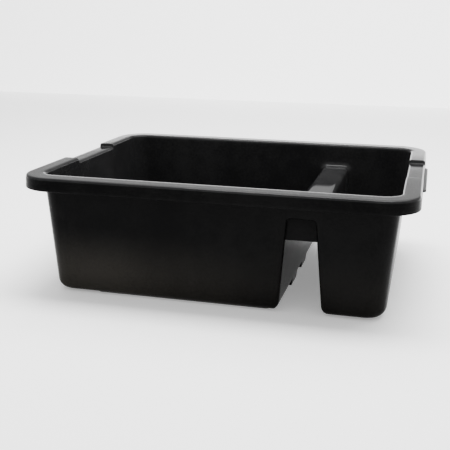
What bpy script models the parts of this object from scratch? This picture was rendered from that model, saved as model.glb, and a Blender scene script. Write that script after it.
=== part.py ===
"""Two-basin mortar mixing tub: a wide and a narrow basin joined by a saddle, under one broad rim.

The real tub is a single moulding. It is modelled as its moulded features, each one closed solid,
standing on the floor at z = 0 with its long sides along X. Metres, +Z up, rim centre over the origin.
"""
import math

import bmesh
import bpy
from mathutils import Vector

# The tub over its rim, and its moulded wall
LENGTH = 0.600
WIDTH = 0.480
HEIGHT = 0.190
WALL = 0.003
GAP = 0.0003

# Rim, its down-turned skirt, and the lowered hand grip and grip lip at each end
RIM_RADIUS = 0.054
SKIRT_DEPTH = 0.0205
GRIP_CENTRE = 0.0125
GRIP_HALF_LENGTH = 0.0745
GRIP_DROP = 0.006
GRIP_RAMP = 0.003
LIP_CENTRE = -0.0075
LIP_HALF_LENGTH = 0.0925
LIP_PROUD = 0.005
LIP_BELOW_RIM = 0.0135
LIP_CORNER_RADIUS = 0.004

# Outer wall faces, measured inwards from the rim's outer edge at the rim top and at z = 0
END_INSET_TOP = 0.025
END_INSET_BASE = 0.0405
SIDE_INSET_TOP = 0.031
SIDE_INSET_BASE = 0.0385
CORNER_RADIUS = 0.030
BASE_RADIUS = 0.014

# The gap between the basins, narrowing upwards to the saddle that bridges it
GAP_LEFT_BASE = 0.103
GAP_LEFT_SLOPE = 0.074
GAP_RIGHT_BASE = 0.1683
GAP_RIGHT_SLOPE = -0.090
GAP_CORNER_RADIUS = 0.006
SADDLE_UNDERSIDE = 0.146
SADDLE_EDGE_RADIUS = 0.0025
WEB_BOTTOM = 0.113
WEB_SET_BACK = 0.009

# Pads that the basins stand on
PAD_HEIGHT = 0.0025
PAD_WIDTH = 0.016
PAD_CORNER_RADIUS = 0.004
PAD_INSET = 0.012
GAP_SIDE_PAD_INSET = 0.0012
END_PAD_LENGTH = 0.046
END_PAD_OFFSET = 0.049
NARROW_PAD_OFFSET = 0.107
LONG_PAD_LEFT = -0.184
LONG_PAD_RIGHT = 0.084

CORNER_SEGMENTS = 6
SMALL_SEGMENTS = 3
SMOOTH_ANGLE = math.radians(35)
SQUARE_ON = 0.9

SATIN_BLACK = (0.012, 0.012, 0.013, 1.0)
GLOSSY_BLACK = (0.008, 0.008, 0.009, 1.0)
SATIN_ROUGHNESS = 0.38
GLOSSY_ROUGHNESS = 0.28

RIM_UNDERSIDE = HEIGHT - WALL
GRIP_UNDERSIDE = RIM_UNDERSIDE - GRIP_DROP
UP = Vector((0, 0, 1))
DOWN = Vector((0, 0, -1))


def clear_scene():
    """Empties the scene that the script runs in."""
    for thing in list(bpy.data.objects):
        bpy.data.objects.remove(thing, do_unlink=True)


def make_collection(name):
    """Adds a collection to the scene."""
    collection = bpy.data.collections.new(name)
    bpy.context.scene.collection.children.link(collection)
    return collection


def plastic(name, colour, roughness):
    """A moulded plastic: one Principled surface with a colour and a roughness."""
    material = bpy.data.materials.new(name)
    material.use_nodes = True
    surface = material.node_tree.nodes["Principled BSDF"]
    surface.inputs["Base Color"].default_value = colour
    surface.inputs["Roughness"].default_value = roughness
    surface.inputs["Metallic"].default_value = 0.0
    return material


def add_part(name, shape, colour=SATIN_BLACK, roughness=SATIN_ROUGHNESS):
    """Turns a bmesh into a named object of the tub, with a plastic of its own."""
    mesh = bpy.data.meshes.new(name)
    shape.to_mesh(mesh)
    shape.free()
    part = bpy.data.objects.new(name, mesh)
    part.data.materials.append(plastic(name + "_plastic", colour, roughness))
    tub.objects.link(part)
    return part


def thicken(part):
    """Gives an open surface the moulded wall, on its inner side."""
    wall = part.modifiers.new("Wall", "SOLIDIFY")
    wall.thickness = WALL
    wall.offset = -1.0
    wall.use_even_offset = True


def round_weighted_edges(part, radius, segments):
    """Rounds each edge to its bevel weight times a radius."""
    rounding = part.modifiers.new("Rounding", "BEVEL")
    rounding.limit_method = "WEIGHT"
    rounding.offset_type = "OFFSET"
    rounding.width = radius
    rounding.segments = segments


def smooth(part):
    """Shades rounded stretches smooth and keeps real edges sharp."""
    part.data.shade_smooth()
    part.data.set_sharp_from_angle(angle=SMOOTH_ANGLE)


def end_face(z):
    """X of the right end wall's outer face at height z. The left end mirrors it."""
    inset = END_INSET_BASE + (END_INSET_TOP - END_INSET_BASE) * z / HEIGHT
    return LENGTH / 2 - inset


def side_face(z):
    """Y of the rear wall's outer face at height z. The front wall mirrors it."""
    inset = SIDE_INSET_BASE + (SIDE_INSET_TOP - SIDE_INSET_BASE) * z / HEIGHT
    return WIDTH / 2 - inset


def gap_left(z):
    """X of the wide basin's face towards the gap, at height z."""
    return GAP_LEFT_BASE + GAP_LEFT_SLOPE * z


def gap_right(z):
    """X of the narrow basin's face towards the gap, at height z."""
    return GAP_RIGHT_BASE + GAP_RIGHT_SLOPE * z


def drafted_block(left, right, low, high):
    """A closed block between two heights, as deep as the tub's walls: its sides lean with their draft."""
    block = bmesh.new()
    bmesh.ops.create_cube(block, size=2.0)
    for corner in block.verts:
        z = high if corner.co.z > 0 else low
        x = right(z) if corner.co.x > 0 else left(z)
        y = math.copysign(side_face(z), corner.co.y)
        corner.co = Vector((x, y, z))
    block.normal_update()
    return block


def box(low, high):
    """A closed box between two opposite corners."""
    block = bmesh.new()
    bmesh.ops.create_cube(block, size=2.0)
    low = Vector(low)
    high = Vector(high)
    for corner in block.verts:
        for axis in range(3):
            corner.co[axis] = high[axis] if corner.co[axis] > 0 else low[axis]
    block.normal_update()
    return block


def is_upright(edge):
    """Whether an edge of a block joins its lower face to its upper one."""
    rise = edge.verts[1].co - edge.verts[0].co
    return abs(rise.z) > SQUARE_ON * rise.length


def facing(shape, direction):
    """The faces of a shape that face one way."""
    return [face for face in shape.faces if face.normal.dot(direction) > SQUARE_ON]


def round_edges(shape, edges, radius, segments):
    """Rounds some edges of a bmesh to one radius."""
    bmesh.ops.bevel(shape, geom=edges, offset=radius, offset_type="OFFSET", segments=segments,
                    profile=0.5, affect="EDGES")
    shape.normal_update()


def basin(name, left, right, gap_face):
    """A basin up to the saddle's level: a leaning block, rounded, open on top, with the moulded wall."""
    block = drafted_block(left, right, PAD_HEIGHT, SADDLE_UNDERSIDE - GAP)
    weight = block.edges.layers.float.new("bevel_weight_edge")
    for edge in block.edges:
        foot = min((corner.co for corner in edge.verts), key=lambda place: place.z)
        beside_gap = abs(foot.x - gap_face(foot.z)) < GAP
        if is_upright(edge):
            edge[weight] = (GAP_CORNER_RADIUS if beside_gap else CORNER_RADIUS) / CORNER_RADIUS
    for edge in facing(block, DOWN)[0].edges:
        edge[weight] = BASE_RADIUS / CORNER_RADIUS
    bmesh.ops.delete(block, geom=facing(block, UP), context="FACES")
    part = add_part(name, block, GLOSSY_BLACK, GLOSSY_ROUGHNESS)
    round_weighted_edges(part, CORNER_RADIUS, CORNER_SEGMENTS)
    thicken(part)
    smooth(part)


def upper_wall():
    """The wall that rings both basins above the saddle, notched where the end rims dip for the hands."""
    block = drafted_block(lambda z: -end_face(z), end_face, SADDLE_UNDERSIDE, RIM_UNDERSIDE - GAP)
    round_edges(block, [edge for edge in block.edges if is_upright(edge)], CORNER_RADIUS, CORNER_SEGMENTS)
    bmesh.ops.delete(block, geom=facing(block, UP) + facing(block, DOWN), context="FACES")
    part = add_part("upper_wall", block, GLOSSY_BLACK, GLOSSY_ROUGHNESS)
    thicken(part)
    notch = part.modifiers.new("Grip notches", "BOOLEAN")
    notch.operation = "DIFFERENCE"
    notch.solver = "EXACT"
    notch.object = grip_cutter()
    smooth(part)


def grip_cutter():
    """A box through both end walls, as long and as deep as the lowered grips."""
    half_length = GRIP_HALF_LENGTH + GRIP_RAMP + WALL
    shape = box((-LENGTH, GRIP_CENTRE - half_length, GRIP_UNDERSIDE - GAP),
                (LENGTH, GRIP_CENTRE + half_length, HEIGHT + WALL))
    mesh = bpy.data.meshes.new("grip_cutter")
    shape.to_mesh(mesh)
    shape.free()
    cutter = bpy.data.objects.new("grip_cutter", mesh)
    cutter.hide_render = True
    cutter.display_type = "WIRE"
    cutters.objects.link(cutter)
    return cutter


def saddle():
    """The saddle's flat deck over the gap, with rounded long edges."""
    left = gap_left(SADDLE_UNDERSIDE) - WALL
    right = gap_right(SADDLE_UNDERSIDE) + WALL
    reach = side_face(SADDLE_UNDERSIDE) - WALL - GAP
    deck = box((left, -reach, SADDLE_UNDERSIDE), (right, reach, SADDLE_UNDERSIDE + WALL))
    top = facing(deck, UP)[0]
    long_edges = [edge for edge in top.edges if abs(edge.verts[0].co.y - edge.verts[1].co.y) > reach]
    round_edges(deck, long_edges, SADDLE_EDGE_RADIUS, SMALL_SEGMENTS)
    smooth(add_part("saddle_deck", deck, GLOSSY_BLACK, GLOSSY_ROUGHNESS))


def web(name, side):
    """A cross web that closes the top of the gap a little way in from one long side."""
    face = side_face(WEB_BOTTOM) - WEB_SET_BACK
    plate = bmesh.new()
    bmesh.ops.create_cube(plate, size=2.0)
    for corner in plate.verts:
        z = SADDLE_UNDERSIDE - GAP if corner.co.z > 0 else WEB_BOTTOM
        x = gap_right(z) - GAP if corner.co.x > 0 else gap_left(z) + GAP
        y = side * (face if corner.co.y * side > 0 else face - WALL)
        corner.co = Vector((x, y, z))
    plate.normal_update()
    smooth(add_part(name, plate))


def rim_surface():
    """The rim's top and skirt as one open surface: a rounded tray upside down with its middle cut out."""
    tray = box((-LENGTH / 2, -WIDTH / 2, HEIGHT - SKIRT_DEPTH), (LENGTH / 2, WIDTH / 2, HEIGHT))
    round_edges(tray, [edge for edge in tray.edges if is_upright(edge)], RIM_RADIUS, 2 * CORNER_SEGMENTS)
    bmesh.ops.delete(tray, geom=facing(tray, DOWN), context="FACES")
    end_width = LENGTH / 2 - end_face(HEIGHT) + WALL
    side_width = WIDTH / 2 - side_face(HEIGHT) + WALL
    middle = facing(tray, UP)[0]
    bmesh.ops.inset_region(tray, faces=[middle], thickness=end_width, use_even_offset=True)
    for corner in middle.verts:
        corner.co.y -= math.copysign(side_width - end_width, corner.co.y)
    bmesh.ops.delete(tray, geom=[middle], context="FACES")
    cut_across(tray)
    for corner in tray.verts:
        in_grip = abs(corner.co.y - GRIP_CENTRE) < GRIP_HALF_LENGTH + GAP
        on_top = corner.co.z > HEIGHT - GAP
        if in_grip and on_top:
            corner.co.z -= GRIP_DROP
    return tray


def cut_across(surface):
    """Cuts a surface across Y at the foot and at the head of each grip ramp."""
    for distance in (GRIP_HALF_LENGTH, GRIP_HALF_LENGTH + GRIP_RAMP):
        for side in (-1, 1):
            everything = surface.verts[:] + surface.edges[:] + surface.faces[:]
            bmesh.ops.bisect_plane(surface, geom=everything, plane_no=(0, 1, 0),
                                   plane_co=(0, GRIP_CENTRE + side * distance, 0))


def rim_side(name, outward):
    """One side of the rim, mitred to its neighbours at the middles of the rounded corners."""
    surface = rim_surface()
    along = Vector((outward.y, outward.x, 0))
    for end in (-1, 1):
        corner = end * along + outward
        centre = Vector((corner.x * (LENGTH / 2 - RIM_RADIUS), corner.y * (WIDTH / 2 - RIM_RADIUS), 0))
        away = (end * along - outward).normalized()
        everything = surface.verts[:] + surface.edges[:] + surface.faces[:]
        bmesh.ops.bisect_plane(surface, geom=everything, plane_co=centre - away * GAP,
                               plane_no=away, clear_outer=True)
    part = add_part(name, surface)
    thicken(part)
    smooth(part)


def grip_lip(name, side):
    """The thin finger lip that stands out from the skirt at one end, below the lowered grip."""
    top = HEIGHT - LIP_BELOW_RIM
    inner = LENGTH / 2 + GAP
    outer = LENGTH / 2 + LIP_PROUD
    low_x, high_x = sorted((side * inner, side * outer))
    lip = box((low_x, LIP_CENTRE - LIP_HALF_LENGTH, top - WALL),
              (high_x, LIP_CENTRE + LIP_HALF_LENGTH, top))
    outer_corners = [edge for edge in lip.edges
                     if is_upright(edge) and abs(edge.verts[0].co.x) > LENGTH / 2 + LIP_PROUD / 2]
    round_edges(lip, outer_corners, LIP_CORNER_RADIUS, SMALL_SEGMENTS)
    smooth(add_part(name, lip))


def pad(name, low, high):
    """A flat pad under a basin, with rounded corners, between two opposite corners in plan."""
    shape = box((low[0], low[1], 0), (high[0], high[1], PAD_HEIGHT - GAP))
    round_edges(shape, [edge for edge in shape.edges if is_upright(edge)], PAD_CORNER_RADIUS,
                SMALL_SEGMENTS)
    smooth(add_part(name, shape))


def base_pads():
    """Long pads by the wide basin's front and rear, short ones by its ends, two under the narrow basin."""
    outer_y = side_face(0) - PAD_INSET
    for name, side in (("front_long_pad", -1), ("rear_long_pad", 1)):
        low_y, high_y = sorted((side * outer_y, side * (outer_y - PAD_WIDTH)))
        pad(name, (LONG_PAD_LEFT, low_y), (LONG_PAD_RIGHT, high_y))
    left_x = -end_face(0) + PAD_INSET
    right_x = gap_left(0) - GAP_SIDE_PAD_INSET
    for name, low_x in (("left_end", left_x), ("gap_side", right_x - PAD_WIDTH)):
        for place, side in (("front", -1), ("rear", 1)):
            low_y = side * END_PAD_OFFSET - END_PAD_LENGTH / 2
            pad(f"{name}_{place}_pad", (low_x, low_y), (low_x + PAD_WIDTH, low_y + END_PAD_LENGTH))
    narrow_left = gap_right(0) + PAD_INSET
    narrow_right = end_face(0) - PAD_INSET
    for place, side in (("front", -1), ("rear", 1)):
        low_y, high_y = sorted((side * NARROW_PAD_OFFSET, side * (NARROW_PAD_OFFSET + PAD_WIDTH)))
        pad(f"narrow_basin_{place}_pad", (narrow_left, low_y), (narrow_right, high_y))


clear_scene()
tub = make_collection("mortar_mixing_tub")
cutters = make_collection("cutters")

basin("wide_basin", lambda z: -end_face(z), gap_left, gap_left)
basin("narrow_basin", gap_right, end_face, gap_right)
upper_wall()
saddle()
web("front_web", -1)
web("rear_web", 1)
rim_side("front_rim", Vector((0, -1, 0)))
rim_side("rear_rim", Vector((0, 1, 0)))
rim_side("left_rim", Vector((-1, 0, 0)))
rim_side("right_rim", Vector((1, 0, 0)))
grip_lip("left_grip_lip", -1)
grip_lip("right_grip_lip", 1)
base_pads()
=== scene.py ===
"""Looks of the mortar mixing tub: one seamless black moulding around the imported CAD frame.

The tub's shell has two skins, one for its inside and top and one for its outside and underside, each
shaped over a grid of lengthwise and crosswise stations and joined along the skirt by a rolled lip. The
two cross webs and the two grip lips are swept bars moulded onto it.
Metres, +X along the tub from the wide basin to the narrow one, +Y from front to rear, +Z up.
"""
import math

import bpy
import numpy as np
from mathutils import Matrix, Vector


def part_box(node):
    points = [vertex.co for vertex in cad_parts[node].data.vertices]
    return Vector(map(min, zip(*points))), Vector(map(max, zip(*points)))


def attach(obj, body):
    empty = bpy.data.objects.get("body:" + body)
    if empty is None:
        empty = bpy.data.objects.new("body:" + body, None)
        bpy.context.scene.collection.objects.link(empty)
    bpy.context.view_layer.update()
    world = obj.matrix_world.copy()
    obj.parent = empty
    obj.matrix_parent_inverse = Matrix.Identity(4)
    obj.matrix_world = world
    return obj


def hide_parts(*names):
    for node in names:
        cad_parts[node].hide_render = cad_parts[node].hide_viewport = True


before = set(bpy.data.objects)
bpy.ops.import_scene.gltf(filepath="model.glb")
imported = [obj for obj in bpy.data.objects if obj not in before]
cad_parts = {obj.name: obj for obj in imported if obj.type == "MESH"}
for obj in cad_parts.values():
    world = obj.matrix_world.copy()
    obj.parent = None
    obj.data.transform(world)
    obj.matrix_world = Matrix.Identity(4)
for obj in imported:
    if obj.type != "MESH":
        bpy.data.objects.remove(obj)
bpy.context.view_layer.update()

# Sizes that the frame gives
rim_low, rim_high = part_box("rear_rim")
HALF_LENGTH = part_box("right_rim")[1].x
HALF_WIDTH = rim_high.y
TOP = rim_high.z
SKIRT_BOTTOM = rim_low.z
PADS = [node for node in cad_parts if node.endswith("_pad")]
PAD_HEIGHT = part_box("front_long_pad")[1].z
DECK_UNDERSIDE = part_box("saddle_deck")[0].z

# The moulding's wall, and how far the wall faces stand in from the rim's outer edge, outside
WALL = 0.003
END_INSET_TOP = 0.025
END_INSET_BASE = 0.0405
SIDE_INSET_TOP = 0.031
SIDE_INSET_BASE = 0.0385
FLOOR = PAD_HEIGHT + WALL
DECK = DECK_UNDERSIDE + WALL

# Radii inside the tub and over its rim
FLOOR_RADIUS = 0.011
WALL_CORNER_RADIUS = 0.027
RIM_CORNER_RADIUS = 0.054
RIM_INNER_RADIUS = 0.005
RIM_OUTER_RADIUS = 0.0035
SKIRT_FLARE = 0.0008
LIP_RADIUS = WALL / 2

# Gap between the basins: slope of its two walls, and the saddle's edges along it and at its ends
GAP_LEFT_BASE = 0.103
GAP_LEFT_SLOPE = 0.074
GAP_RIGHT_BASE = 0.1683
GAP_RIGHT_SLOPE = -0.090
SADDLE_EDGE_RADIUS = 0.0085
INSIDE_END_RADIUS = 0.009
OUTSIDE_END_RADIUS = 0.0065

# Lowered hand grips
GRIP_CENTRE = 0.0125
GRIP_HALF_LENGTH = 0.0745
GRIP_DROP = 0.006
GRIP_RAMP = 0.003
GRIP_FADE = 0.030

# Ramps beside the pads along x and along y, and how far webs and lips sink into the shell
PAD_RAMPS = (0.0015, 0.003)
WEB_SINK = 0.0015
WEB_EDGE_RADIUS = 0.0011
LIP_SINK = 0.0022
LIP_END_LENGTH = 0.006
LIP_ROUNDNESS = 0.55

# How finely the shell is divided: points in each round, rings and stations in each straight
FLOOR_ROUND_POINTS = 7
SADDLE_EDGE_POINTS = 11
RIM_ROUND_POINTS = 8
RIM_FLAT_RINGS = 4
WALL_TOP_RINGS = 5
SKIRT_RINGS = 5
WALL_RINGS = 19
DECK_STATIONS = 6
LIP_STEPS = 7
GRIP_EDGE_STATIONS = np.linspace(-0.4, 1.4, 9)
WIDE_SPACING = 0.018
NARROW_SPACING = 0.012
LEAST_SPACING = 0.0006
WEB_LOOPS = 25
GRIP_LIP_LOOPS = 41
SHARP_ANGLE = math.radians(60)

# Blacks of the moulding, polished inside and grained outside, a painted light at the bottom of its walls, its
# dust and its scuffs
# The polished blacks are made lighter than the grained ones: a painted fill light that lifts the shaded inside
# of the tub
POLISHED_BLACKS_WITH_PAINTED_FILL = ((0.0085, 0.0085, 0.0088, 1.0), (0.0150, 0.0150, 0.0152, 1.0))
GRAINED_BLACKS = ((0.0016, 0.0016, 0.0017, 1.0), (0.0034, 0.0034, 0.0034, 1.0))
# A lighter brownish black painted towards the bottom of the outside walls: painted light bounced from the floor
# and falling from the left
FOOT_PAINTED_LIGHT = (0.0180, 0.0166, 0.0145, 1.0)
DUST = (0.020, 0.019, 0.018, 1.0)
POLISHED_SPECULAR_LEVEL = 0.06
GRAINED_SPECULAR_LEVEL = 0.02
GLOSSY = 0.06
GRAINED = 0.26
RIM_DULLING = 0.04
GRAIN_RELIEF = 0.06
GRAIN_HEIGHT = 0.00006
WAVE_RELIEF = 0.4
WAVE_HEIGHT = 0.0006
# Heights and left-to-right run of that painted light at the bottom of the walls
PAINTED_LIGHT_TOP = 0.115
PAINTED_LIGHT_BOTTOM = 0.025
PAINTED_LIGHT_START_X = -0.22
PAINTED_LIGHT_END_X = 0.12
RIM_MATERIAL_BOTTOM = TOP - 0.014
RIM_MATERIAL_TOP = TOP - 0.003

# Studio: a pale room, a floor lit faintly from below, a lit backdrop and two soft boxes
STUDIO_WHITE = (1.0, 1.0, 1.0, 1.0)
FLOOR_PAINT = (0.93, 0.93, 0.93, 1.0)
FLOOR_ROUGHNESS = 0.9
FLOOR_REACH = 6.0
FLOOR_GLOW = 0.28
ROOM_LIGHT = 1.05
TOP_POWER = 150.0
TOP_PLACE = (0.2, 0.9, 2.6)
TOP_TARGET = (0.0, 0.3, 0.0)
TOP_SIZE = (3.2, 2.4)
OVERHEAD_POWER = 70.0
OVERHEAD_PLACE = (0.1, 0.05, 2.0)
OVERHEAD_TARGET = (0.1, 0.0, 0.0)
OVERHEAD_SIZE = (1.4, 0.7)
BACKDROP_PAINT = (0.9, 0.9, 0.9, 1.0)
BACKDROP_LIGHT = 1.5
BACKDROP_HALF_WIDTH = 4.0
BACKDROP_HEIGHT = 0.62
BACKDROP_BACK = 2.6

# Camera: where it stands, which way it looks, and its lens on a square frame
CAMERA_PLACE = (0.3036, -1.2912, 0.4345)
CAMERA_TURN = math.radians(14.411)
CAMERA_DIP = math.radians(14.757)
CAMERA_ROLL = math.radians(0.59)
CAMERA_LENS = 63.45
CAMERA_SHIFT = (-0.0029, -0.0121)

# Heights that every wall of the basins shares, from the floor's round to just above the deck
WALL_LEVELS = np.linspace(FLOOR + FLOOR_RADIUS, DECK + INSIDE_END_RADIUS, WALL_RINGS + 1)[1:]


def smooth_step(value, low, high):
    """0 below low, 1 above high, and 3t^2 - 2t^3 in between."""
    t = np.clip((value - low) / (high - low), 0.0, 1.0)
    return t * t * (3.0 - 2.0 * t)


def end_face(z):
    """Inside x of the right end wall: the inset runs straight from its base value to its top value."""
    return HALF_LENGTH - END_INSET_BASE + (END_INSET_BASE - END_INSET_TOP) * z / TOP - WALL


def side_face(z):
    """Inside y of the rear wall, by the same rule."""
    return HALF_WIDTH - SIDE_INSET_BASE + (SIDE_INSET_BASE - SIDE_INSET_TOP) * z / TOP - WALL


def gap_wall(base, slope, z):
    """X of a gap wall's outer face at height z: base plus slope times z."""
    return base + slope * z


def ring_profile(face, half_size, depth):
    """A skin's profile from the floor's edge outwards, as (outward, height) of one ring after another.

    A quarter round leaves the floor, the wall follows face(z), a quarter round turns over onto the
    rim, a flat crosses it, a smaller quarter round turns down, and the skirt flares out. A skin at
    a depth below the top one lies that much further out and down, so each round keeps its centre.
    """
    turn = np.linspace(0.0, math.pi / 2, FLOOR_ROUND_POINTS)
    floor_radius = FLOOR_RADIUS + depth
    round_up = FLOOR - depth + floor_radius * (1 - np.cos(turn))
    round_out = face(round_up) + depth - floor_radius * (1 - np.sin(turn))
    wall_top = TOP - RIM_INNER_RADIUS
    near_rim = np.linspace(WALL_LEVELS[-1], wall_top, WALL_TOP_RINGS + 1)[1:]
    wall_up = np.concatenate([WALL_LEVELS, near_rim])
    over = np.linspace(0.0, math.pi / 2, RIM_ROUND_POINTS)[1:]
    inner_out = face(wall_top) + depth + (RIM_INNER_RADIUS - depth) * (1 - np.cos(over))
    inner_up = wall_top + (RIM_INNER_RADIUS - depth) * np.sin(over)
    outer_centre = half_size - SKIRT_FLARE - RIM_OUTER_RADIUS
    flat_out = np.linspace(inner_out[-1], outer_centre, RIM_FLAT_RINGS + 1)[1:]
    flat_up = np.full(flat_out.size, TOP - depth)
    outer_out = outer_centre + (RIM_OUTER_RADIUS - depth) * np.sin(over)
    outer_up = TOP - RIM_OUTER_RADIUS + (RIM_OUTER_RADIUS - depth) * np.cos(over)
    down = np.linspace(0.0, 1.0, SKIRT_RINGS + 1)[1:]
    skirt_up = outer_up[-1] + (SKIRT_BOTTOM + LIP_RADIUS - outer_up[-1]) * down
    skirt_out = outer_out[-1] + SKIRT_FLARE * down
    out = np.concatenate([round_out, face(wall_up) + depth, inner_out, flat_out, outer_out, skirt_out])
    up = np.concatenate([round_up, wall_up, inner_up, flat_up, outer_up, skirt_up])
    return out, up


def saddle_section(depth):
    """A skin's lengthwise section over the gap, from floor to floor, as (x, z) of its stations.

    Each side leaves its floor by a quarter round, climbs its sloped wall to the saddle's edge and
    turns onto the level deck by another quarter round.
    """
    turn = np.linspace(0.0, math.pi / 2, FLOOR_ROUND_POINTS)
    floor_radius = FLOOR_RADIUS + depth
    round_up = FLOOR - depth + floor_radius * (1 - np.cos(turn))
    edge_bottom = DECK - SADDLE_EDGE_RADIUS
    edge_radius = SADDLE_EDGE_RADIUS - depth
    levels = WALL_LEVELS[WALL_LEVELS < edge_bottom - LIP_RADIUS]
    over = np.linspace(0.0, math.pi / 2, SADDLE_EDGE_POINTS)
    sides = []
    for base, slope, toward in ((GAP_LEFT_BASE, GAP_LEFT_SLOPE, 1), (GAP_RIGHT_BASE, GAP_RIGHT_SLOPE, -1)):
        setback = toward * (WALL - depth)
        round_x = gap_wall(base, slope, round_up) - setback - toward * floor_radius * (1 - np.sin(turn))
        wall_x = gap_wall(base, slope, levels) - setback
        edge_x = gap_wall(base, slope, edge_bottom) - setback + toward * edge_radius * (1 - np.cos(over))
        edge_z = edge_bottom + edge_radius * np.sin(over)
        sides.append((np.concatenate([round_x, wall_x, edge_x]), np.concatenate([round_up, levels, edge_z])))
    (left_x, left_z), (right_x, right_z) = sides
    deck_x = np.linspace(left_x[-1], right_x[-1], DECK_STATIONS + 2)[1:-1]
    return (np.concatenate([left_x, deck_x, right_x[::-1]]),
            np.concatenate([left_z, np.full(deck_x.size, DECK - depth), right_z[::-1]]))


def pad_marks(axis, low, high):
    """Where the pads' ramps start, halve and end along one axis, between low and high."""
    ramp = np.linspace(0.0, PAD_RAMPS[axis], 3)
    boxes = [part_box(pad) for pad in PADS]
    marks = np.array([[corners[0][axis] - ramp, corners[1][axis] + ramp] for corners in boxes]).ravel()
    return marks[(marks > low + PAD_RAMPS[axis]) & (marks < high - PAD_RAMPS[axis])]


def floor_stations(low, high, spacing, marks):
    """Stations from low to high, both left out: even ones and the marks, none closer than the least spacing."""
    even = np.linspace(low, high, max(3, int(round((high - low) / spacing)) + 1))[1:-1]
    stations = np.unique(np.round(np.concatenate([even, marks]), 5))
    keep = np.concatenate([[True], np.diff(stations) > LEAST_SPACING])
    return stations[keep]


def line_stations(out, middle):
    """All stations along one axis: the rings of one side, those in the middle, the rings of the other."""
    return np.concatenate([-out[::-1], middle, out])


def line_rings(count, middle):
    """The ring that each of those stations stands on, 0 in the middle."""
    return np.concatenate([np.arange(count)[::-1], np.zeros(middle.size, int), np.arange(count)])


def corner_radii(end_out, ring_up, depth):
    """Plan radius of the outer corners at each ring.

    The wall keeps one radius, the floor's round shrinks it by its own setback, and over the rim it
    grows evenly to the skirt's. A deeper skin has a larger wall radius and a smaller skirt radius.
    """
    setback = np.clip(end_face(ring_up) + depth - end_out, 0.0, None)
    wall_top = end_face(TOP - RIM_INNER_RADIUS) + depth
    over_rim = np.clip((end_out - wall_top) / (HALF_LENGTH - depth - wall_top), 0.0, 1.0)
    growth = RIM_CORNER_RADIUS - WALL_CORNER_RADIUS - 2 * depth
    return WALL_CORNER_RADIUS + depth - setback + growth * over_rim


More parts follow.
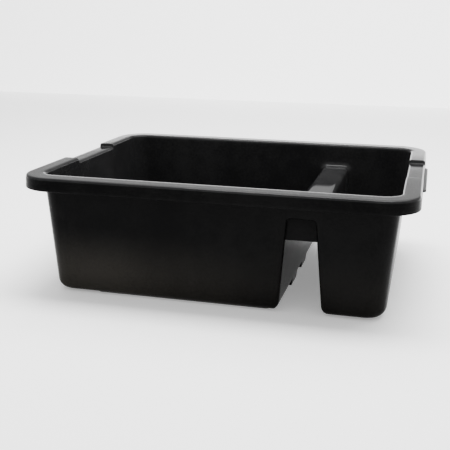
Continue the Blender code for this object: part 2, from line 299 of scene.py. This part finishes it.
def tub_skin(depth, end_radius):
    """One skin of the tub as an array of points over (lengthwise, crosswise) stations.

    A point stands on the outer of its two rings and takes that ring's height; over the gap it takes
    the saddle's height where that is more. Round corners come from turning each square ring about
    its corner's centre: the larger offset from the centre becomes the radius, and the smaller one,
    as a share of it, the angle.
    """
    end_out, ring_up = ring_profile(end_face, HALF_LENGTH, depth)
    side_out, ring_up = ring_profile(side_face, HALF_WIDTH, depth)
    section_x, section_z = saddle_section(depth)
    before = FLOOR_MIDDLE[FLOOR_MIDDLE < section_x[0]]
    after = FLOOR_MIDDLE[FLOOR_MIDDLE > section_x[-1]]
    middle_x = np.concatenate([before, section_x, after])
    x_line, y_line = line_stations(end_out, middle_x), line_stations(side_out, CROSS_MIDDLE)
    x_ring, y_ring = line_rings(ring_up.size, middle_x), line_rings(ring_up.size, CROSS_MIDDLE)
    ring = np.maximum(x_ring[:, None], y_ring[None, :])
    x = np.repeat(x_line[:, None], y_line.size, axis=1)
    y = np.repeat(y_line[None, :], x_line.size, axis=0)
    z = ring_up[ring]

    # Hand grips: the end rims drop over the grip, fading out down the wall and down the skirt
    from_middle = np.abs(y_line - GRIP_CENTRE)
    over_grip = 1 - smooth_step(from_middle, GRIP_HALF_LENGTH, GRIP_HALF_LENGTH + GRIP_RAMP)
    on_wall = smooth_step(ring_up, TOP - GRIP_FADE, TOP - RIM_INNER_RADIUS)
    on_skirt = (ring_up - ring_up[-1]) / (TOP - RIM_OUTER_RADIUS - ring_up[-1])
    past_rim = end_out > HALF_LENGTH - SKIRT_FLARE - RIM_OUTER_RADIUS
    drop = np.where(past_rim, np.clip(on_skirt, 0.0, 1.0), on_wall)
    z = z - GRIP_DROP * drop[x_ring][:, None] * over_grip[None, :]

    # Saddle: near its two ends it spreads into the side walls all round by a quarter round, radius
    # minus the root of radius squared less distance squared
    saddle_x = np.repeat(section_x[:, None], y_line.size, axis=1)
    saddle_z = np.repeat(section_z[:, None], y_line.size, axis=1)
    run_x = np.gradient(saddle_x, axis=0)
    run_z = np.gradient(saddle_z, axis=0)
    run_z[[0, -1]] = 0.0
    run = np.hypot(run_x, run_z)
    spread_top = saddle_z + run_x / run * end_radius
    from_wall = np.clip(side_face(spread_top) + depth - np.abs(y_line)[None, :], 0.0, end_radius)
    spread = end_radius - np.sqrt(end_radius ** 2 - (end_radius - from_wall) ** 2)
    start = ring_up.size + before.size
    over_gap = slice(start, start + section_x.size)
    even_x = np.linspace(section_x[0], section_x[-1], section_x.size)[:, None]
    above = smooth_step(ring_up[y_ring], DECK + end_radius, TOP - RIM_INNER_RADIUS)
    above = np.where(side_out[y_ring] > side_face(TOP) + depth, 1.0, above)[None, :]
    x[over_gap] = (saddle_x - run_z / run * spread) * (1 - above) + even_x * above
    z[over_gap] = np.maximum(z[over_gap], saddle_z + run_x / run * spread)

    # Pads: pressed down out of the floors and the rounds beside them
    ramp_x, ramp_y = PAD_RAMPS
    for pad in PADS:
        low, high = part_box(pad)
        press_x = smooth_step(x, low.x - ramp_x, low.x) * (1 - smooth_step(x, high.x, high.x + ramp_x))
        press_y = smooth_step(y, low.y - ramp_y, low.y) * (1 - smooth_step(y, high.y, high.y + ramp_y))
        z = z + (FLOOR - depth - PAD_HEIGHT - z) * press_x * press_y

    # Outer corners, turned round their centres
    radius = corner_radii(end_out, ring_up, depth)
    beyond_x = np.abs(x) - (end_out - radius)[ring]
    beyond_y = np.abs(y) - (side_out - radius)[ring]
    longer = np.maximum(beyond_x, beyond_y)
    shorter = np.minimum(beyond_x, beyond_y)
    turning = shorter > 0
    angle = math.pi / 4 * np.where(turning, shorter / np.maximum(longer, 1e-9), 0.0)
    lean_x = np.where(beyond_x > beyond_y, np.cos(angle), np.sin(angle))
    lean_y = np.where(beyond_x > beyond_y, np.sin(angle), np.cos(angle))
    x = np.where(turning, np.sign(x) * (np.abs(x) - beyond_x + longer * lean_x), x)
    y = np.where(turning, np.sign(y) * (np.abs(y) - beyond_y + longer * lean_y), y)
    return np.stack([x, y, z], axis=-1)


def floor_middles():
    """Stations on the floors, between the rings: along x on both sides of the gap, and along y."""
    end_start = ring_profile(end_face, HALF_LENGTH, 0.0)[0][0]
    side_start = ring_profile(side_face, HALF_WIDTH, 0.0)[0][0]
    gap_x = saddle_section(0.0)[0]
    wide = floor_stations(-end_start, gap_x[0], WIDE_SPACING, pad_marks(0, -end_start, gap_x[0]))
    narrow = floor_stations(gap_x[-1], end_start, NARROW_SPACING, pad_marks(0, gap_x[-1], end_start))
    grip_edge = GRIP_HALF_LENGTH + GRIP_EDGE_STATIONS * GRIP_RAMP
    marks = np.concatenate([pad_marks(1, -side_start, side_start), GRIP_CENTRE + grip_edge,
                            GRIP_CENTRE - grip_edge])
    return np.concatenate([wide, narrow]), floor_stations(-side_start, side_start, WIDE_SPACING, marks)


FLOOR_MIDDLE, CROSS_MIDDLE = floor_middles()


def border(rows, columns):
    """Indices once round the border of a grid of points, anticlockwise seen from above."""
    index = np.arange(rows * columns).reshape(rows, columns)
    return np.concatenate([index[:-1, 0], index[-1, :-1], index[:0:-1, -1], index[0, :0:-1]])


def tub_shell(top_material, under_material):
    """The whole shell: its two skins, and the skirt's lip as half a round from one to the other.

    Around the lip a point stands at the middle of the two skins' edges, plus the half distance
    between them times the cosine of its angle, and below them by the lip's radius times the sine.
    """
    inside = tub_skin(0.0, INSIDE_END_RADIUS)
    outside = tub_skin(WALL, OUTSIDE_END_RADIUS)
    rows, columns = inside.shape[:2]
    inside, outside = inside.reshape(-1, 3), outside.reshape(-1, 3)
    edge = border(rows, columns)
    middle = (inside[edge] + outside[edge]) / 2
    half = (inside[edge] - outside[edge]) / 2
    angles = np.linspace(0.0, math.pi, LIP_STEPS)[1:-1]
    lip = [middle + half * math.cos(angle) - np.array([0.0, 0.0, LIP_RADIUS * math.sin(angle)])
           for angle in angles]
    points = np.concatenate([inside, outside, *lip])
    lip_loops = 2 * len(inside) + np.arange(angles.size * edge.size).reshape(angles.size, edge.size)
    loops = np.concatenate([edge[None, :], lip_loops, len(inside) + edge[None, :]])
    following = np.roll(loops, -1, axis=1)
    rolled = np.stack([loops[:-1], loops[1:], following[1:], following[:-1]], axis=-1).reshape(-1, 4)
    top_faces = grid_faces(rows, columns)
    under_faces = top_faces[:, ::-1] + len(inside)
    faces = np.concatenate([top_faces, rolled, under_faces])
    shell = add_piece("tub_shell", points, faces, top_material)
    shell.data.materials.append(under_material)
    on_skirt = np.ones((rows - 1, columns - 1), bool)
    on_skirt[SKIRT_RINGS:-SKIRT_RINGS, SKIRT_RINGS:-SKIRT_RINGS] = False
    is_under = np.concatenate([on_skirt.ravel(), np.ones(len(rolled) + len(under_faces), bool)])
    shell.data.polygons.foreach_set("material_index", is_under.astype(np.int32))
    return shell


def grid_faces(rows, columns, closed=False):
    """Quads of a rows x columns grid of points, rows first; closed joins its last column to its first."""
    index = np.arange(rows * columns).reshape(rows, columns)
    if closed:
        index = np.concatenate([index, index[:, :1]], axis=1)
    corners = (index[:-1, :-1], index[1:, :-1], index[1:, 1:], index[:-1, 1:])
    return np.stack(corners, axis=-1).reshape(-1, 4)


def add_piece(name, points, faces, material):
    """Puts points and faces into a smooth mesh object of the tub, with its plastic."""
    mesh = bpy.data.meshes.new(name)
    mesh.from_pydata(points.tolist(), [], [list(face) for face in faces])
    mesh.validate()
    mesh.update()
    mesh.shade_smooth()
    mesh.set_sharp_from_angle(angle=SHARP_ANGLE)
    mesh.materials.append(material)
    piece = bpy.data.objects.new(name, mesh)
    bpy.context.scene.collection.objects.link(piece)
    return piece


def swept_bar(name, loops, material):
    """A closed bar through loops, an array (loop, point, xyz), with each end drawn in to its centre."""
    count, size = loops.shape[:2]
    points = np.concatenate([loops.reshape(-1, 3), loops[:1].mean(axis=1), loops[-1:].mean(axis=1)])
    walk = np.arange(size)
    after = (walk + 1) % size
    start = np.stack([np.full(size, count * size), walk, after], axis=-1)
    last = (count - 1) * size
    finish = np.stack([np.full(size, count * size + 1), last + after, last + walk], axis=-1)
    sides = grid_faces(count, size, closed=True)
    piece = add_piece(name, points, [*sides.tolist(), *start.tolist(), *finish.tolist()], material)
    centre = loops.mean(axis=(0, 1))
    outward = sum((face.center - Vector(centre)).dot(face.normal) * face.area for face in piece.data.polygons)
    if outward < 0:
        piece.data.flip_normals()
    return piece


def rounded_section(width, height, radius, steps=5):
    """A rectangle with rounded corners as (across, up) points, anticlockwise, centred on zero."""
    turn = np.linspace(0.0, math.pi / 2, steps)
    quarters = []
    for quarter, (side, lift) in enumerate(((1, 1), (-1, 1), (-1, -1), (1, -1))):
        angle = turn + quarter * math.pi / 2
        quarters.append(np.stack([side * (width / 2 - radius) + radius * np.cos(angle),
                                  lift * (height / 2 - radius) + radius * np.sin(angle)], axis=-1))
    return np.concatenate(quarters)


def web(node, material):
    """A cross web: its rounded section is carried across the gap and sunk a little into both walls.

    At each height the bar runs evenly from just inside the left wall to just inside the right one.
    """
    low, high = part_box(node)
    top = high.z + WALL / 2
    middle_y = (low.y + high.y) / 2
    section = rounded_section(high.y - low.y, top - low.z, WEB_EDGE_RADIUS)
    across = np.linspace(0.0, 1.0, WEB_LOOPS)[:, None]
    z = (top + low.z) / 2 + section[:, 1][None, :]
    left = gap_wall(GAP_LEFT_BASE, GAP_LEFT_SLOPE, z) - WEB_SINK
    right = gap_wall(GAP_RIGHT_BASE, GAP_RIGHT_SLOPE, z) + WEB_SINK
    x = left + (right - left) * across
    y = np.repeat(middle_y + section[:, 0][None, :], WEB_LOOPS, axis=0)
    return swept_bar(node + "_moulding", np.stack([x, y, np.repeat(z, WEB_LOOPS, axis=0)], axis=-1), material)


def grip_lip(node, side, material):
    """A finger lip along an end skirt: a thin rounded section whose reach grows from nothing at each end.

    The reach follows the root of one less the square of the way past each end's round, so the
    lip's ends are quarter rounds in plan.
    """
    low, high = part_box(node)
    reach = high.x - low.x
    half = (high.y - low.y) / 2
    straight = half - LIP_END_LENGTH
    turn = np.linspace(math.pi / 2, 0.0, 9)
    end = half - LIP_END_LENGTH * (1 - np.sin(turn))
    y = np.unique(np.concatenate([-end, end, np.linspace(-straight, straight, GRIP_LIP_LOOPS)]))
    past = np.clip((np.abs(y) - straight) / LIP_END_LENGTH, 0.0, 1.0)
    share = np.sqrt(np.clip(1 - past ** 2, 0.0, None))
    width = LIP_SINK + reach * share
    section = rounded_section(2.0, 2.0, LIP_ROUNDNESS)
    outward = (section[:, 0] + 1) / 2
    height = high.z - low.z
    x = side * (HALF_LENGTH - LIP_SINK + width[:, None] * outward[None, :])
    z = np.repeat((low.z + high.z) / 2 + section[:, 1][None, :] * height / 2, y.size, axis=0)
    loops = np.stack([x, np.repeat(y[:, None], section.shape[0], axis=1), z], axis=-1)
    return swept_bar(node + "_moulding", loops, material)


class Value:
    """A shader socket that can be used in arithmetic; each operator adds one Math node."""

    def __init__(self, shader, socket):
        self.shader = shader
        self.socket = socket

    def _with(self, operation, *values):
        return self.shader.node("ShaderNodeMath", dict(enumerate(values)), operation=operation)

    def __add__(self, other):
        return self._with("ADD", self, other)

    __radd__ = __add__

    def __mul__(self, other):
        return self._with("MULTIPLY", self, other)

    __rmul__ = __mul__

    def __sub__(self, other):
        return self._with("SUBTRACT", self, other)

    def __rsub__(self, other):
        return self._with("SUBTRACT", other, self)

    def clamp(self):
        """The value held between 0 and 1."""
        return self.shader.node("ShaderNodeClamp", {"Value": self})

    def between(self, low, high):
        """0 at low, 1 at high, smooth in between."""
        return self.shader.node("ShaderNodeMapRange", {"Value": self, "From Min": low, "From Max": high},
                                interpolation_type="SMOOTHSTEP")

    def largest(self, other):
        """The larger of the two values."""
        return self._with("MAXIMUM", self, other)


class Plastic:
    """A material under construction, with its Principled surface."""

    def __init__(self, name):
        self.material = bpy.data.materials.new(name)
        self.material.use_nodes = True
        self.tree = self.material.node_tree
        self.surface = self.tree.nodes["Principled BSDF"]

    def link(self, value, socket):
        """Sets a socket to a number or colour, or joins a value to it."""
        if isinstance(value, Value):
            self.tree.links.new(value.socket, socket)
        else:
            socket.default_value = value

    def node(self, kind, inputs, output=0, **settings):
        """Adds any node: its settings first, then its sockets by name or number. Returns one output."""
        node = self.tree.nodes.new(kind)
        for name, setting in settings.items():
            setattr(node, name, setting)
        for name, value in inputs.items():
            self.link(value, node.inputs[name])
        return Value(self, node.outputs[output])

    def place(self, stretch=(1, 1, 1)):
        """Object coordinates, stretched along each axis."""
        here = self.node("ShaderNodeTexCoord", {}, output="Object")
        return self.node("ShaderNodeMapping", {"Vector": here, "Scale": stretch})

    def part(self, vector, axis):
        """One component of a vector, as a value."""
        return self.node("ShaderNodeSeparateXYZ", {"Vector": vector}, output=axis)

    def noise(self, scale, detail=3.0, roughness=0.5, stretch=(1, 1, 1), distortion=0.0):
        """Fractal noise on the object, as a value."""
        return self.node("ShaderNodeTexNoise", {
            "Vector": self.place(stretch), "Scale": scale, "Detail": detail,
            "Roughness": roughness, "Distortion": distortion})

    def mix_colour(self, share, low, high):
        """A colour between two others."""
        return self.node("ShaderNodeMix", {0: share, 6: low, 7: high}, output=2, data_type="RGBA")


def moulded_black(name, smoothness, grain_share, blacks, specular, painted_light_share):
    """Black moulded plastic, of a roughness and a depth of spark-eroded grain, a little duller on the rim.

    Broad cloudy flow marks shift its black and its roughness, a fine spark-eroded grain and a slight
    long waviness lift its surface, short rubs and hairline scuffs dull the rim, and a few specks of dust
    settle on faces that look up. A lighter brownish black is painted in towards the bottom of the walls,
    most at the left end: painted light that stands for light bounced from the floor and falling from the left.
    """
    plastic = Plastic(name)
    height = plastic.part(plastic.place(), "Z")
    along_tub = plastic.part(plastic.place(), "X")
    facing = plastic.node("ShaderNodeNewGeometry", {}, output="Normal")
    up = plastic.part(facing, "Z").between(0.55, 0.95)
    rim = height.between(RIM_MATERIAL_BOTTOM, RIM_MATERIAL_TOP)

    flow = plastic.noise(7.0, detail=4.0, stretch=(1.0, 1.6, 0.6), distortion=0.6)
    clouds = plastic.noise(38.0, detail=3.0)
    grain = plastic.noise(1500.0, detail=2.0, roughness=0.6)
    coarse_grain = plastic.noise(520.0, detail=2.0)
    wave = plastic.noise(11.0, detail=1.0, stretch=(1.0, 1.0, 1.8))
    mottle = plastic.noise(260.0, detail=3.0, roughness=0.7)

    along = plastic.noise(420.0, detail=1.0, stretch=(0.05, 1.0, 1.0), distortion=0.35)
    across = plastic.noise(420.0, detail=1.0, stretch=(1.0, 0.06, 1.0), distortion=0.35)
    streaks = along.between(0.66, 0.72).largest(across.between(0.67, 0.73)) * clouds.between(0.42, 0.62)
    scuffs = streaks * rim
    specks = plastic.noise(900.0, detail=0.0).between(0.80, 0.84) * up * flow.between(0.40, 0.65)

    shade = plastic.mix_colour((flow * 0.4 + clouds * 0.2 + mottle * 0.4).between(0.40, 0.62), *blacks)
    # Painted light: the black is lightened towards the bottom of the walls and towards the left end, standing
    # for light bounced from the floor and light from the left
    painted_light_from_left = 1.1 - along_tub.between(PAINTED_LIGHT_START_X, PAINTED_LIGHT_END_X) * 0.9
    low_down = 1 - height.between(PAINTED_LIGHT_BOTTOM, PAINTED_LIGHT_TOP)
    painted_bottom_light = low_down * (flow * 0.8 + 0.5).clamp() * (mottle + 0.5) * painted_light_from_left * painted_light_share
    shade = plastic.mix_colour(painted_bottom_light.clamp(), shade, FOOT_PAINTED_LIGHT)
    dusty = (specks + scuffs * 0.25).clamp()
    plastic.link(plastic.mix_colour(dusty, shade, DUST), plastic.surface.inputs["Base Color"])

    base = rim * RIM_DULLING + smoothness
    roughness = base + (flow - 0.5) * 0.05 + (clouds - 0.5) * 0.03 + scuffs * 0.12 + specks * 0.3
    plastic.link(roughness.clamp(), plastic.surface.inputs["Roughness"])

    relief = grain * 0.4 + coarse_grain * 0.6 + scuffs * 0.4
    fine = plastic.node("ShaderNodeBump", {
        "Height": relief, "Strength": GRAIN_RELIEF * grain_share, "Distance": GRAIN_HEIGHT}, output="Normal")
    broad = plastic.node("ShaderNodeBump", {
        "Height": wave, "Strength": WAVE_RELIEF, "Distance": WAVE_HEIGHT, "Normal": fine}, output="Normal")
    plastic.link(broad, plastic.surface.inputs["Normal"])
    plastic.surface.inputs["Specular IOR Level"].default_value = specular
    return plastic.material


def pale_floor():
    """A wide plain pale floor, lit faintly from below like a light table."""
    reach = FLOOR_REACH
    corners = np.array([(-reach, -reach, 0.0), (reach, -reach, 0.0), (reach, reach, 0.0), (-reach, reach, 0.0)])
    paint = Plastic("pale_floor_paint")
    paint.surface.inputs["Base Color"].default_value = FLOOR_PAINT
    paint.surface.inputs["Roughness"].default_value = FLOOR_ROUGHNESS
    paint.surface.inputs["Emission Color"].default_value = STUDIO_WHITE
    paint.surface.inputs["Emission Strength"].default_value = FLOOR_GLOW
    floor = add_piece("pale_floor", corners, [[0, 1, 2, 3]], paint.material)


def soft_box(name, centre, target, size, power):
    """A large soft area light at centre, turned to target."""
    lamp = bpy.data.lights.new(name, "AREA")
    lamp.shape = "RECTANGLE"
    lamp.size, lamp.size_y = size
    lamp.energy = power
    light = bpy.data.objects.new(name, lamp)
    light.location = centre
    light.rotation_euler = (Vector(target) - Vector(centre)).to_track_quat("-Z", "Y").to_euler()
    bpy.context.scene.collection.objects.link(light)


def studio():
    """A pale room, a lit backdrop behind the tub, a large soft box over it and a smaller one straight above."""
    world = bpy.data.worlds.new("studio_room")
    world.use_nodes = True
    world.node_tree.nodes["Background"].inputs["Color"].default_value = STUDIO_WHITE
    world.node_tree.nodes["Background"].inputs["Strength"].default_value = ROOM_LIGHT
    bpy.context.scene.world = world
    soft_box("top_soft_box", TOP_PLACE, TOP_TARGET, TOP_SIZE, TOP_POWER)
    soft_box("overhead_strip", OVERHEAD_PLACE, OVERHEAD_TARGET, OVERHEAD_SIZE, OVERHEAD_POWER)
    glow = Plastic("lit_backdrop")
    glow.surface.inputs["Base Color"].default_value = BACKDROP_PAINT
    glow.surface.inputs["Emission Color"].default_value = STUDIO_WHITE
    glow.surface.inputs["Emission Strength"].default_value = BACKDROP_LIGHT
    half_width, height, back = BACKDROP_HALF_WIDTH, BACKDROP_HEIGHT, BACKDROP_BACK
    corners = np.array([(-half_width, back, 0.0), (half_width, back, 0.0),
                        (half_width, back, height), (-half_width, back, height)])
    add_piece("backdrop", corners, [[0, 1, 2, 3]], glow.material)


def camera():
    """The studio camera. Its axes are worked out from turn, dip and roll, in that order."""
    forward = Vector((-math.sin(CAMERA_TURN) * math.cos(CAMERA_DIP),
                      math.cos(CAMERA_TURN) * math.cos(CAMERA_DIP), -math.sin(CAMERA_DIP)))
    right = Vector((math.cos(CAMERA_TURN), math.sin(CAMERA_TURN), 0.0))
    up = right.cross(forward)
    rolled_right = math.cos(CAMERA_ROLL) * right + math.sin(CAMERA_ROLL) * up
    rolled_up = -math.sin(CAMERA_ROLL) * right + math.cos(CAMERA_ROLL) * up
    lens = bpy.data.cameras.new("studio_camera")
    lens.lens = CAMERA_LENS
    lens.shift_x, lens.shift_y = CAMERA_SHIFT
    eye = bpy.data.objects.new("studio_camera", lens)
    turn = Matrix((rolled_right, rolled_up, -forward)).transposed()
    eye.matrix_world = Matrix.Translation(CAMERA_PLACE) @ turn.to_4x4()
    bpy.context.scene.collection.objects.link(eye)
    bpy.context.scene.camera = eye


polished = moulded_black("polished_black_plastic", GLOSSY, 1.0, POLISHED_BLACKS_WITH_PAINTED_FILL, POLISHED_SPECULAR_LEVEL, 0.0)
grained = moulded_black("grained_black_plastic", GRAINED, 6.0, GRAINED_BLACKS, GRAINED_SPECULAR_LEVEL, 1.0)

shell = tub_shell(polished, grained)
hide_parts(*[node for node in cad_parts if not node.endswith(("_web", "_lip"))])

pieces = [shell]
for node in ("front_web", "rear_web"):
    bar = web(node, grained)
    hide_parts(node)
    pieces.append(bar)
for node, side in (("left_grip_lip", -1), ("right_grip_lip", 1)):
    bar = grip_lip(node, side, polished)
    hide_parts(node)
    pieces.append(bar)
for piece in pieces:
    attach(piece, "root")

pale_floor()
studio()
camera()
